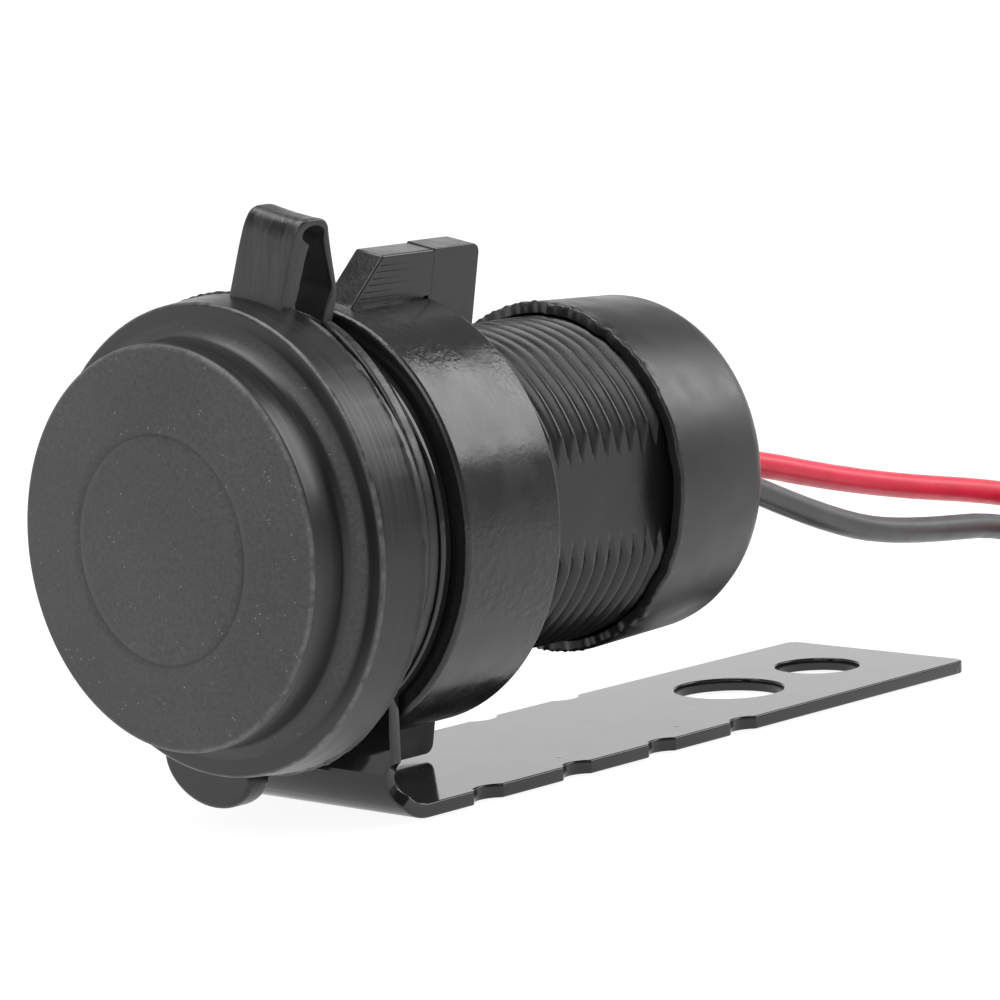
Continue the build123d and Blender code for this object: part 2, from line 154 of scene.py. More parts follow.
def prism(name, outline, place_point, half, bevel):
    """Outline given depth both ways by place_point(x, y, depth), with rounded edges."""
    count = len(outline)
    points = [place_point(x, y, depth) for depth in (-half, half) for x, y in outline]
    faces = [list(range(count)), list(range(2 * count - 1, count - 1, -1))]
    for index in range(count):
        after = (index + 1) % count
        faces.append([index, after, count + after, count + index])
    obj = solid(name, points, faces)
    work = bmesh.new()
    work.from_mesh(obj.data)
    edges = [edge for edge in work.edges if edge.calc_face_angle(0) > radians(25)]
    bmesh.ops.bevel(
        work, geom=edges, offset=bevel * MM, offset_type="OFFSET", segments=3, profile=0.5,
        affect="EDGES", clamp_overlap=True,
    )
    work.to_mesh(obj.data)
    work.free()
    return soften(obj)


def plain_mesh(obj):
    """Mesh of an object as it stands, with its curve made solid and its modifiers applied."""
    graph = bpy.context.evaluated_depsgraph_get()
    return bpy.data.meshes.new_from_object(obj.evaluated_get(graph))


def combine(base, tools, operation="UNION"):
    """Boolean of a mesh with others, which are used up."""
    for tool in tools:
        boolean = base.modifiers.new("combine", "BOOLEAN")
        boolean.operation = operation
        boolean.solver = "EXACT"
        boolean.object = tool
        mesh = plain_mesh(base)
        base.modifiers.clear()
        base.data = mesh
        bpy.data.objects.remove(tool)
    soften(base)


def even_faces(obj):
    """Weighted normals, so that broad flat faces stay flat beside their rounded edges."""
    weighted = obj.modifiers.new("even faces", "WEIGHTED_NORMAL")
    weighted.keep_sharp = True


def ripple(angle, scale, seed):
    """Smooth deterministic wobble round a ring, from about -1 to 1."""
    return noise.noise(Vector((scale * cos(angle), scale * sin(angle), seed)))


def smooth_line(points, steps):
    """Catmull-Rom line through points, with the same number of steps in each stretch."""
    line = []
    padded = [points[0], *points, points[-1]]
    for a, b, c, d in zip(padded, padded[1:], padded[2:], padded[3:]):
        for step in range(steps):
            t = step / steps
            line.append(tuple(
                0.5 * (2 * q + (r - p) * t + (2 * p - 5 * q + 4 * r - s) * t**2
                       + (3 * q - p - 3 * r + s) * t**3)
                for p, q, r, s in zip(a, b, c, d)
            ))
    line.append(points[-1])
    return line


# Materials
MIX_FIRST, MIX_SECOND = 6, 7
MIX_RESULT = 2


def colour_mix(tree, blend):
    """Node that blends its two colour sockets in full."""
    node = tree.nodes.new("ShaderNodeMix")
    node.data_type = "RGBA"
    node.blend_type = blend
    node.inputs["Factor"].default_value = 1.0
    return node


class Shader:
    """A procedural material: a principled shader and the nodes that feed it."""

    def __init__(self, name, **sockets):
        self.material = bpy.data.materials.new(name)
        self.material.use_nodes = True
        self.tree = self.material.node_tree
        self.principled = self.tree.nodes["Principled BSDF"]
        for socket, value in sockets.items():
            self.principled.inputs[socket.replace("_", " ")].default_value = value
        self.coordinates = self.tree.nodes.new("ShaderNodeTexCoord").outputs["Object"]

    def link(self, output, target):
        self.tree.links.new(output, target)

    def stretched(self, scale, shift=(0, 0, 0)):
        """Object coordinates scaled along each axis, then shifted."""
        mapping = self.tree.nodes.new("ShaderNodeMapping")
        mapping.inputs["Scale"].default_value = scale
        mapping.inputs["Location"].default_value = shift
        self.link(self.coordinates, mapping.inputs["Vector"])
        return mapping.outputs["Vector"]

    def grain(self, scale, detail=2.0, rough=0.5, vector=None):
        """Noise, with its scale in features per metre."""
        texture = self.tree.nodes.new("ShaderNodeTexNoise")
        texture.inputs["Scale"].default_value = scale
        texture.inputs["Detail"].default_value = detail
        texture.inputs["Roughness"].default_value = rough
        self.link(vector or self.coordinates, texture.inputs["Vector"])
        return texture.outputs["Fac"]

    def specks(self, scale):
        """Distance from scattered points, for fine dust and nibs."""
        texture = self.tree.nodes.new("ShaderNodeTexVoronoi")
        texture.inputs["Scale"].default_value = scale
        self.link(self.coordinates, texture.inputs["Vector"])
        return texture.outputs["Distance"]

    def ramp(self, factor, stops):
        """Colours or greys at positions along a factor."""
        node = self.tree.nodes.new("ShaderNodeValToRGB")
        elements = node.color_ramp.elements
        while len(elements) < len(stops):
            elements.new(0.5)
        for element, (position, value) in zip(elements, stops):
            element.position = position
            element.color = (*value, 1) if isinstance(value, tuple) else (value, value, value, 1)
        self.link(factor, node.inputs["Fac"])
        return node.outputs["Color"]

    def between(self, factor, low, high, start=0.3, end=0.7):
        """From one colour or grey to another as a factor goes from a start to an end."""
        return self.ramp(factor, [(start, low), (end, high)])

    def share(self, value, start, end):
        """Share of the way from a start to an end in millimetres."""
        span = self.tree.nodes.new("ShaderNodeMapRange")
        span.inputs["From Min"].default_value = start * MM
        span.inputs["From Max"].default_value = end * MM
        self.link(value, span.inputs["Value"])
        return span.outputs["Result"]

    def by_place(self, stops):
        """Greys at places along the socket's axis."""
        split = self.tree.nodes.new("ShaderNodeSeparateXYZ")
        self.link(self.coordinates, split.inputs["Vector"])
        first, last = stops[0][0], stops[-1][0]
        share = self.share(split.outputs["Y"], PLATE_Y + first, PLATE_Y + last)
        return self.ramp(share, [((place - first) / (last - first), value) for place, value in stops])

    def outward(self, start, end):
        """Share of the way out from the socket's axis from one distance to another."""
        length = self.tree.nodes.new("ShaderNodeVectorMath")
        length.operation = "LENGTH"
        self.link(self.stretched((1, 0, 1), (0, 0, -AXIS_Z * MM)), length.inputs[0])
        return self.share(length.outputs["Value"], start, end)

    def mix(self, first, second, factor=None):
        """Two colours or greys, multiplied or, with a factor, mixed by it."""
        node = colour_mix(self.tree, "MIX" if factor else "MULTIPLY")
        if factor:
            self.link(factor, node.inputs["Factor"])
        self.link(first, node.inputs[MIX_FIRST])
        self.link(second, node.inputs[MIX_SECOND])
        return node.outputs[MIX_RESULT]

    def colour(self, output):
        self.link(output, self.principled.inputs["Base Color"])

    def roughness(self, output):
        self.link(output, self.principled.inputs["Roughness"])

    def bump(self, height, strength, depth):
        """Bump of a depth in millimetres; a second call adds to the first."""
        node = self.tree.nodes.new("ShaderNodeBump")
        node.inputs["Strength"].default_value = strength
        node.inputs["Distance"].default_value = depth * MM
        self.link(height, node.inputs["Height"])
        normal = self.principled.inputs["Normal"]
        if normal.is_linked:
            self.link(normal.links[0].from_socket, node.inputs["Normal"])
        self.link(node.outputs["Normal"], normal)


def grey(value):
    """Faintly cool grey."""
    return (value, value, value * 1.02)


def cap_rubber():
    """Grainy, dust-flecked face; the cove given the face's lighter tint and dust as a painted highlight
    band; darker sides streaked round the skirt; chalky wear and a painted highlight along both edges.
    """
    shader = Shader("cap_rubber", Specular_IOR_Level=0.5)
    # Low over the face and the cove, so the cove takes the face's lighter tint and dust as a painted
    # highlight band, with the face's roughness and grain.
    sides = shader.by_place([
        (-13.99, 0.0), (-13.59, 1.0), (-10.22, 1.0), (-9.93, 0.2), (-9.38, 0.2), (-9.32, 1.0),
    ])
    # Bands on the boss rim and the shoulder's outer edge, which get a paler grey below: chalky wear and a
    # painted rim highlight.
    edges = shader.by_place([
        (-14.11, 0.0), (-14.04, 1.0), (-13.91, 1.0), (-13.79, 0.0),
        (-9.285, 0.0), (-9.21, 1.0), (-9.005, 1.0), (-8.92, 0.0),
    ])
    face = shader.between(sides, 1.0, 0.0, 0.0, 1.0)
    fine = shader.grain(3000, 3.0, 0.7)
    streak = shader.grain(1, 3.0, 0.6, shader.stretched((90, 2400, 90)))
    broad = shader.between(shader.grain(90, 3.0), grey(0.028), grey(0.035), 0.35, 0.65)
    face_tint = shader.mix(broad, shader.between(fine, 0.65, 1.4, 0.36, 0.64))
    patches = shader.between(shader.grain(700, 2.0), 0.0, 1.0, 0.58, 0.64)
    dust = shader.mix(shader.between(shader.specks(2400), 1.0, 0.0, 0.14, 0.22), patches)
    # Face tint with dust specks; through the sides mask it also paints the cove's highlight band.
    dust_and_cove_highlight = shader.mix(face_tint, shader.between(dust, grey(0.1), grey(0.16), 0.0, 1.0), dust)
    side_tint = shader.between(streak, grey(0.007), grey(0.013))
    # Paler grey along both edges: partly chalky wear, partly painted highlight.
    worn_and_lit_edges = shader.mix(edges, shader.between(shader.grain(900, 3.0), 0.25, 1.0, 0.35, 0.6))
    chalk_and_rim_highlight = shader.between(fine, grey(0.05), grey(0.11))
    shader.colour(shader.mix(shader.mix(dust_and_cove_highlight, side_tint, sides), chalk_and_rim_highlight, worn_and_lit_edges))
    shader.roughness(shader.mix(shader.between(fine, 0.5, 0.66), shader.between(streak, 0.26, 0.4), sides))
    shader.bump(shader.mix(fine, face), 0.45, 0.05)
    shader.bump(shader.mix(streak, sides), 0.5, 0.03)
    return shader.material


def smooth_rubber():
    """Strap and tether rubber, streaked along the strap."""
    shader = Shader("smooth_rubber", Specular_IOR_Level=0.5)
    streak = shader.grain(1, 3.0, 0.7, shader.stretched((1500, 700, 130)))
    shader.colour(shader.between(streak, grey(0.006), grey(0.026), 0.35, 0.7))
    shader.roughness(shader.between(streak, 0.22, 0.45))
    shader.bump(shader.grain(3500, 2.0), 0.3, 0.02)
    shader.bump(streak, 0.8, 0.08)
    return shader.material


def moulded_plastic(name, base, rough, grain_depth, swell=0.0):
    """Dark moulding with a fine grain and, where swell is given, uneven flow and patches of orange peel
    that keep to the nut's ring."""
    shader = Shader(name, Specular_IOR_Level=0.5)
    shader.colour(shader.between(shader.grain(150, 4.0), grey(base * 0.85), grey(base * 1.15)))
    shader.roughness(shader.between(shader.grain(400, 3.0), *rough, 0.35, 0.65))
    shader.bump(shader.grain(2400, 2.0), 0.6, grain_depth)
    if swell:
        on_ring = shader.between(shader.outward(NUT_RADIUS, NUT_RADIUS + 0.2), 1.0, 0.0, 0.0, 1.0)
        patches = shader.mix(shader.between(shader.grain(90, 2.0), 0.0, 1.0, 0.44, 0.56), on_ring)
        shader.bump(shader.mix(shader.grain(1300, 2.0, 0.6), patches), 1.0, 1.3 * swell)
        shader.bump(shader.grain(110, 1.0), 0.6, swell)
    return shader.material


def gloss_paint():
    """Bracket paint with a few dust nibs under it."""
    shader = Shader("bracket_paint", Specular_IOR_Level=0.5)
    shader.colour(shader.between(shader.grain(200, 3.0), grey(0.006), grey(0.01)))
    shader.roughness(shader.between(shader.grain(350, 3.0), 0.06, 0.13, 0.35, 0.7))
    shader.bump(shader.grain(260, 2.0), 0.12, 0.06)
    patches = shader.between(shader.grain(150, 1.0), 0.0, 1.0, 0.56, 0.62)
    nibs = shader.between(shader.specks(420), 1.0, 0.0, 0.05, 0.12)
    shader.bump(shader.mix(nibs, patches), 0.7, 0.04)
    return shader.material


def lead_plastic(name, low, high):
    """Soft insulation with a faint sheen."""
    shader = Shader(name, Specular_IOR_Level=0.5)
    shader.colour(shader.between(shader.grain(300, 3.0), low, high))
    shader.roughness(shader.between(shader.grain(500, 2.0), 0.3, 0.42))
    shader.bump(shader.grain(1500, 2.0), 0.2, 0.03)
    return shader.material


def metal(name, low, high, rough, scale):
    """Bare metal, brushed along the axis with the smallest scale."""
    shader = Shader(name, Metallic=1.0)
    brushed = shader.grain(1, 3.0, 0.6, shader.stretched(scale))
    shader.colour(shader.between(brushed, low, high))
    shader.roughness(shader.between(brushed, rough * 0.8, rough * 1.2))
    shader.bump(brushed, 0.15, 0.02)
    return shader.material


def tinted(name, low, high, rough):
    """Plastic, board or lens between two colours, with a fine grain."""
    shader = Shader(name, Specular_IOR_Level=0.5)
    shader.colour(shader.between(shader.grain(800, 3.0), low, high))
    shader.roughness(shader.between(shader.grain(1600, 2.0), rough * 0.85, rough * 1.15))
    shader.bump(shader.grain(3200, 2.0), 0.2, 0.02)
    return shader.material


CAP_RUBBER = cap_rubber()
SMOOTH_RUBBER = smooth_rubber()
# Near-black rubber for the strap's inside faces: painted shade between the legs of the hairpin.
FOLD_SHADE_RUBBER = moulded_plastic("fold_painted_shade", 0.004, (0.6, 0.75), 0.03)
BARREL_PLASTIC = moulded_plastic("barrel_plastic", 0.009, (0.26, 0.36), 0.015)
NUT_PLASTIC = moulded_plastic("nut_plastic", 0.009, (0.18, 0.28), 0.02, swell=0.06)
BRACKET_PAINT = gloss_paint()
BOOT_RUBBER = moulded_plastic("boot_rubber", 0.009, (0.32, 0.4), 0.012)
RED_LEAD = lead_plastic("red_lead", (0.62, 0.008, 0.035), (0.75, 0.014, 0.055))
BLACK_LEAD = lead_plastic("black_lead", grey(0.045), grey(0.06))


def coat(obj, material):
    """Give an object one material in place of those it has."""
    obj.data.materials.clear()
    obj.data.materials.append(material)


def piece(obj, body, material, slot, *stands_for):
    """Finish a piece: its material, the body it rides on and the solids it stands for. The slot argument is
    not used.
    """
    coat(obj, material)
    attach(obj, body)
    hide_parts(*stands_for)
    return obj


# Solids that are shown as they are: ports, lamp, converter and the leads' tie
SHELL_STEEL = metal("shell_steel", (0.5, 0.5, 0.5), (0.66, 0.66, 0.65), 0.28, (200, 4000, 4000))
CORE_PLASTIC = tinted("core_plastic", (0.78, 0.78, 0.74), (0.86, 0.86, 0.83), 0.45)
CONTACT_GOLD = metal("contact_gold", (0.75, 0.52, 0.2), (0.88, 0.66, 0.3), 0.2, (4000, 200, 4000))
BOARD_GREEN = tinted("board_green", (0.015, 0.11, 0.045), (0.025, 0.16, 0.06), 0.35)
LAMP_LENS = tinted("lamp_lens", (0.5, 0.62, 0.82), (0.62, 0.72, 0.9), 0.18)
CAN_ALUMINIUM = metal("can_aluminium", (0.6, 0.6, 0.62), (0.76, 0.76, 0.78), 0.3, (500, 500, 4000))
CHIP_PLASTIC = tinted("chip_plastic", grey(0.018), grey(0.026), 0.5)
NODE_MATERIALS = {
    "face_plate": moulded_plastic("face_plastic", 0.025, (0.45, 0.6), 0.04),
    "usb_shell_upper": SHELL_STEEL,
    "usb_shell_lower": SHELL_STEEL,
    "usb_core_upper": CORE_PLASTIC,
    "usb_core_lower": CORE_PLASTIC,
    "usb_contacts_upper": CONTACT_GOLD,
    "usb_contacts_lower": CONTACT_GOLD,
    "front_board": BOARD_GREEN,
    "converter_board": BOARD_GREEN,
    "light_pipe": LAMP_LENS,
    "indicator_lamp": LAMP_LENS,
    "choke_drum": tinted("ferrite", grey(0.04), grey(0.06), 0.6),
    "choke_winding": metal("copper", (0.55, 0.2, 0.09), (0.72, 0.32, 0.15), 0.3, (200, 200, 5000)),
    "input_capacitor": CAN_ALUMINIUM,
    "output_capacitor": CAN_ALUMINIUM,
    "regulator_chip": CHIP_PLASTIC,
    "diode": CHIP_PLASTIC,
    "solder_joints": metal("solder", (0.6, 0.6, 0.61), (0.72, 0.72, 0.73), 0.22, (900, 900, 900)),
    "lead_tie": tinted("tie_plastic", grey(0.02), grey(0.03), 0.4),
}
for node, node_material in NODE_MATERIALS.items():
    coat(nodes[node], node_material)


# Leads: one curve each, along its route and on into the turns of its coil
WIRE_RADIUS = 1.25
EXIT_ACROSS = 2.5
EXIT_HEIGHT = 23.65
COIL_CENTRE = (12.8, 69.4)
COIL_RADII = (15.05, 12.5, 9.95)
COIL_STEPS = 20
CROSSING_STEPS = 4
RED_LAYERS = (9.5, 7.0)
BLACK_LAYERS = (4.4, 1.9)
RED_ROUTE = [
    (-EXIT_ACROSS, -22.4, EXIT_HEIGHT), (-EXIT_ACROSS, -2.0, EXIT_HEIGHT), (-2.4, 24.0, 17.1),
    (-2.3, 50.0, 13.0), (-2.25, 60.0, 9.5), (-2.25, 69.4, 9.5),
]
BLACK_ROUTE = [
    (EXIT_ACROSS, -22.4, EXIT_HEIGHT), (EXIT_ACROSS, -8.2, EXIT_HEIGHT), (2.5, 13.5, 14.95),
    (2.4, 24.6, 12.6), (1.0, 45.0, 10.9), (-2.25, 58.0, 4.4), (-2.25, 69.4, 4.4),
]


def coil_turns(upper, lower):
    """Three turns from the outside in on the upper layer, then three back out on the lower one."""
    last = len(COIL_RADII) - 1
    stations = []
    for turn, radius in enumerate(COIL_RADII):
        onward = COIL_RADII[min(turn + 1, last)]
        drop = lower - upper if turn == last else 0.0
        for step in range(COIL_STEPS):
            share = max(0.0, (step - (COIL_STEPS - CROSSING_STEPS)) / CROSSING_STEPS)
            stations.append((radius + (onward - radius) * share, upper + drop * share))
    for turn, radius in enumerate(reversed(COIL_RADII)):
        onward = COIL_RADII[max(last - turn - 1, 0)]
        for step in range(COIL_STEPS):
            share = min(1.0, max(0.0, (step - (COIL_STEPS - 2 * CROSSING_STEPS)) / CROSSING_STEPS))
            stations.append((radius + (onward - radius) * share, lower))
    centre_x, centre_y = COIL_CENTRE
    points = []
    for index, (radius, height) in enumerate(stations[1:], 1):
        angle = pi - 2 * pi * index / COIL_STEPS
        points.append((centre_x + radius * cos(angle), centre_y + radius * sin(angle), height))
    return points


def lead(name, route, layers, material, stands_for):
    """A lead as one smooth curve from inside the boot to the end of its coil."""
    curve = bpy.data.curves.new(name, "CURVE")
    curve.dimensions = "3D"
    points = route + coil_turns(*layers)
    spline = curve.splines.new("NURBS")
    spline.points.add(len(points) - 1)
    for target, point in zip(spline.points, points):
        target.co = (*(value * MM for value in point), 1)
    spline.order_u = 3
    spline.use_endpoint_u = True
    spline.resolution_u = 6
    curve.bevel_depth = WIRE_RADIUS * MM
    curve.bevel_resolution = 5
    curve.use_fill_caps = True
    obj = piece(new_object(name, curve), "socket", material, name, *stands_for)


lead("red_lead", RED_ROUTE, RED_LAYERS, RED_LEAD, ("red_wire", "red_coil"))
lead("black_lead", BLACK_ROUTE, BLACK_LAYERS, BLACK_LEAD, ("black_wire", "black_coil"))


# Rubber cap: stepped cup with a fine moulded ring on its face, a flash edge and the finger tab
CAP_RIM = -14.05
FACE_CROWN = 1.0
FACE_EDGE = 14.4
FACE_RING = 9.35
RING_DEPTH = 0.13
RING_HALF = 0.22
RING_FLOOR_HALF = 0.06
BOSS_RADIUS = 16.5
BOSS_ROUND = 0.5
COVE_RADIUS = 1.6
SHOULDER_FRONT = -9.3
SHOULDER_RADIUS = 19.3
SHOULDER_ROUND = 0.4
SKIRT_END = -4.9
SKIRT_RADIUS = 19.68
SKIRT_LIP = 19.6
SKIRT_MOUTH = 18.33
FLASH_RADIUS = 19.9
SEAT_FLOOR = -7.5
SEAT_RADIUS = 18.1
HOLLOW_FLOOR = -11.85
HOLLOW_RADIUS = 14.3
TAB_HALF = 5.1
TAB_TOP = -19.3
TAB_DROP = 3.6
TAB_ROOT = -18.6
TAB_ROOT_HALF = 4.6
TAB_HALF_THICK = 1.2
TAB_ROUND = 0.45
TAB_STEPS = 24


def crown(radius):
    """Profile point of the cap's slightly domed face at a distance from the axis."""
    return (CAP_RIM - FACE_CROWN * (1 - (radius / BOSS_RADIUS) ** 2), radius)


def cap_shape(place, radius, angle):
    """Ragged flash along the parting line at the skirt's edge."""
    if radius == FLASH_RADIUS:
        fray = 0.16 + 0.14 * ripple(angle, 9.0, 3.1) + 0.1 * ripple(angle, 40.0, 7.7)
        radius = SKIRT_RADIUS + max(0.05, fray)
    return on_axis(place, radius, angle)


def tab_point(across, out, depth):
    return turned(SKIRT_END - TAB_HALF_THICK + depth, out, across, CAP_TURN)


cap_profile = [crown(radius) for radius in (0, 2.0, 4.0, 6.0, 7.5, 8.6, FACE_RING - RING_HALF)]
ring_floor = crown(FACE_RING)[0] + RING_DEPTH
cap_profile += [(ring_floor, FACE_RING - RING_FLOOR_HALF), (ring_floor, FACE_RING + RING_FLOOR_HALF)]
cap_profile += [crown(radius) for radius in (FACE_RING + RING_HALF, 10.2, 11.5, 13.0, FACE_EDGE)]
cap_profile += rounded([
    (*crown(FACE_EDGE), 0), (CAP_RIM, BOSS_RADIUS, BOSS_ROUND), (SHOULDER_FRONT, BOSS_RADIUS, COVE_RADIUS),
    (SHOULDER_FRONT, SHOULDER_RADIUS, SHOULDER_ROUND), (SKIRT_END - 0.35, SKIRT_RADIUS, 0),
], 8)[1:]
cap_profile += [
    (SKIRT_END - 0.15, FLASH_RADIUS), (SKIRT_END - 0.03, FLASH_RADIUS), (SKIRT_END, SKIRT_LIP),
    (SKIRT_END, SKIRT_MOUTH), (SEAT_FLOOR, SEAT_RADIUS), (SEAT_FLOOR, HOLLOW_RADIUS),
    (HOLLOW_FLOOR, HOLLOW_RADIUS), (HOLLOW_FLOOR, 0),
]
cap = lathe("cap", cap_profile, segments=256, shape=cap_shape)
tab_outline = []
for step in range(TAB_STEPS + 1):
    sweep = pi * step / TAB_STEPS
    tab_outline.append((TAB_HALF * cos(sweep), TAB_TOP - TAB_DROP * sin(sweep)))
tab_outline += [(-TAB_ROOT_HALF, TAB_ROOT), (TAB_ROOT_HALF, TAB_ROOT)]
combine(cap, [prism("tab", tab_outline, tab_point, TAB_HALF_THICK, TAB_ROUND)])
even_faces(cap)
piece(cap, "cap", CAP_RUBBER, "cap_rubber", "dust_cap")


# Hairpin strap: front leg on the cap, eye, and rear leg on the tether ring
STRAP_HALF = 2.9
STRAP_ROUND = 0.22
STRAP_STEPS = 4
ACROSS_STEPS = 10
ROUND_STEPS = 4
EYE_START = 25.0
EYE_RISE = 1.6
EYE_SAG = 0.1
EYE_TILT = 0.05
FRAY_STATIONS = 18
FRAY_SHARE = 0.3
FRAY_DEPTH = 0.1
STRAP_OUTER = [
    (-6.35, 18.6), (-6.25, 19.8), (-6.0, 21.5), (-5.72, 23.4), (-5.55, 24.3), (-5.4, 25.0), (-5.15, 25.7),
    (-4.75, 26.3), (-4.15, 26.6), (-3.4, 26.66), (-2.6, 26.66), (-1.95, 26.5), (-1.55, 26.1), (-1.38, 25.6),
    (-1.18, 24.9), (-0.72, 23.4), (-0.25, 22.0), (0.22, 20.5), (0.2, 19.3), (-0.05, 17.6),
]
STRAP_INNER = [
    (-4.4, 18.6), (-4.38, 19.8), (-4.1, 21.5), (-3.75, 23.4), (-3.5, 24.45), (-3.95, 24.8), (-4.3, 25.15),
    (-4.2, 25.6), (-3.75, 25.9), (-3.15, 26.02), (-2.6, 25.97), (-2.15, 25.75), (-1.9, 25.4), (-1.85, 25.0),
    (-1.8, 24.6), (-1.42, 23.3), (-0.95, 22.0), (-0.45, 20.5), (-0.8, 19.4), (-1.25, 17.6),
]


def strap_section(thick):
    """Section of the strap as (share of the thickness, distance across), from its outer face round."""
    edge = min(STRAP_ROUND, 0.35 * thick)
    flat = STRAP_HALF - edge
    inset = edge / thick
    turns = [pi / 2 * step / ROUND_STEPS for step in range(1, ROUND_STEPS)]
    half = [(1.0, flat * (2 * step / ACROSS_STEPS - 1)) for step in range(ACROSS_STEPS + 1)]
    half += [(1 - inset * (1 - cos(turn)), flat + edge * sin(turn)) for turn in turns]
    half += [(1 - inset, STRAP_HALF), (inset, STRAP_HALF)]
    half += [(inset * (1 - sin(turn)), flat + edge * cos(turn)) for turn in turns]
    return half + [(1 - share, -across) for share, across in half]


def strap_mesh(name):
    """The strap from the cap's skirt over its eye to the tether, with painted shade on its inside faces."""
    outer = smooth_line(STRAP_OUTER, STRAP_STEPS)
    inner = smooth_line(STRAP_INNER, STRAP_STEPS)
    points = []
    for station, (outer_point, inner_point) in enumerate(zip(outer, inner)):
        (outer_place, outer_radius), (inner_place, inner_radius) = outer_point, inner_point
        thick = hypot(outer_place - inner_place, outer_radius - inner_radius)
        rise = max(0.0, (outer_radius - EYE_START) / EYE_RISE)
        for share, across in strap_section(thick):
            aside = across / STRAP_HALF
            sag = EYE_SAG * rise * (1 - aside**2) * share
            out = inner_radius + (outer_radius - inner_radius) * share - sag - EYE_TILT * aside * rise
            place = inner_place + (outer_place - inner_place) * share
            if station < FRAY_STATIONS and share < FRAY_SHARE:
                place += FRAY_DEPTH * noise.noise(Vector((station * 1.3, across * 0.6, 1.5)))
            points.append(turned(place, out, across, CAP_TURN))
    stations = len(outer)
    section = len(points) // stations
    faces = []
    for row in range(stations - 1):
        start, onward = row * section, (row + 1) * section
        for column in range(section):
            after = (column + 1) % section
            faces.append([start + column, start + after, onward + after, onward + column])
    faces.append(list(range(section)))
    faces.append(list(range((stations - 1) * section, stations * section)))
    obj = solid(name, points, faces, crease=50)
    obj.data.materials.append(SMOOTH_RUBBER)
    obj.data.materials.append(FOLD_SHADE_RUBBER)
    # Inside faces take the near-black material, painted shade where the legs face each other.
    inside = section // 2
    for row in range(stations - 1):
        for column in range(inside, inside + ACROSS_STEPS):
            obj.data.polygons[row * section + column].material_index = 1
    return obj


strap = strap_mesh("strap")
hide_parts("hinge_loop")
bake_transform(strap)

TETHER_FRONT = -1.3
TETHER_BORE = 14.5
TETHER_RADIUS = 16.85
TETHER_ROUND = 0.3
TETHER_BORE_ROUND = 0.1
ROOT_RISE = 1.5
ROOT_SPREAD = radians(32)


def tether_shape(place, radius, angle):
    """Ring that grows towards the root of the strap."""
    if radius > (TETHER_BORE + TETHER_RADIUS) / 2:
        apart = (angle - CAP_TURN + pi) % (2 * pi) - pi
        radius += ROOT_RISE * exp(-((apart / ROOT_SPREAD) ** 2))
    return on_axis(place, radius, angle)


tether_profile = rounded([
    (TETHER_FRONT, TETHER_BORE, TETHER_BORE_ROUND), (TETHER_FRONT, TETHER_RADIUS, TETHER_ROUND),
    (0.0, TETHER_RADIUS, TETHER_ROUND), (0.0, TETHER_BORE, TETHER_BORE_ROUND),
], 5)
tether = lathe("tether_ring", tether_profile, segments=192, shape=tether_shape)
piece(tether, "socket", SMOOTH_RUBBER, "cap_rubber", "cap_tether")


# Bracket: flat pattern with notches and holes, folded through its bend
SHEET = 1.2
EDGE_ROUND = 0.16
BEND_MID = 3.6
BEND_CENTRE = 4.2
BEND_CUTS = 16
STRIP_HALF = 10.5
HEAD_RADIUS = 17.0
HEAD_BORE = 14.5
HEAD_STEPS = 96
NOTCH_DEPTH = 0.9
NOTCH_HALF = 1.8
NOTCH_RADIUS = 2.25
NOTCH_ROUND = 0.3
NOTCH_STEPS = 10
NOTCH_PLACES = (11.5, 22.86, 34.22, 45.58)
BEND_NOTCH_HEIGHT = 3.4
FOOT_REAR = 79.7
FOOT_CORNER = 1.2
LARGE_HOLE_RADIUS = 5.1
LARGE_HOLE_PLACE = -PLATE_Y
SMALL_HOLE_RADIUS = 4.0
SMALL_HOLE_PLACE = 70.1
LEVEL = 0.99999
upright_end = AXIS_Z - BEND_CENTRE
bend_end = upright_end + BEND_MID * pi / 2
foot_start = bend_end - BEND_CENTRE


def folded(across, along, depth):
    """Point of the flat pattern after folding; depth is counted towards the outside of the bend."""
    if along < upright_end:
        place, height = SHEET / 2 - depth, AXIS_Z - along
    elif along < bend_end:
        sweep = (along - upright_end) / BEND_MID
        radius = BEND_MID + depth
        place, height = BEND_CENTRE - radius * cos(sweep), BEND_CENTRE - radius * sin(sweep)
    else:
        place, height = along - foot_start, SHEET / 2 - depth
    return (across, PLATE_Y + place, height)


def notch(middle):
    """Corners of a round notch in the right edge, with softened ends."""
    centre = STRIP_HALF + NOTCH_RADIUS - NOTCH_DEPTH
    half = asin(NOTCH_HALF / NOTCH_RADIUS)
    corners = []
    for step in range(NOTCH_STEPS + 1):
        angle = half * (2 * step / NOTCH_STEPS - 1)
        fillet = NOTCH_ROUND if step in (0, NOTCH_STEPS) else 0
        corners.append((centre - NOTCH_RADIUS * cos(angle), middle + NOTCH_RADIUS * sin(angle), fillet))
    return corners


def bracket_outline():
    """Edge of the flat pattern, from the strip's top right round the foot and over the head."""
    meet = atan2(STRIP_HALF, sqrt(HEAD_RADIUS**2 - STRIP_HALF**2))
    edge = [(STRIP_HALF, HEAD_RADIUS * cos(meet), 0)]
    edge += notch(upright_end + BEND_MID * asin((BEND_CENTRE - BEND_NOTCH_HEIGHT) / BEND_MID))
    for place in NOTCH_PLACES:
        edge += notch(place + foot_start)
    edge.append((STRIP_HALF, FOOT_REAR + foot_start, FOOT_CORNER))
    other = [(-x, y, radius) for x, y, radius in reversed(edge)]
    outline = rounded(edge + other, 5)
    for step in range(1, HEAD_STEPS):
        angle = pi + (pi - meet) * (1 - 2 * step / HEAD_STEPS)
        outline.append((HEAD_RADIUS * sin(angle), HEAD_RADIUS * cos(angle)))
    return outline


def circle(radius, along, count=96):
    """Round hole in the flat pattern."""
    turns = [2 * pi * step / count for step in range(count)]
    return [(radius * cos(turn), along + radius * sin(turn)) for turn in turns]


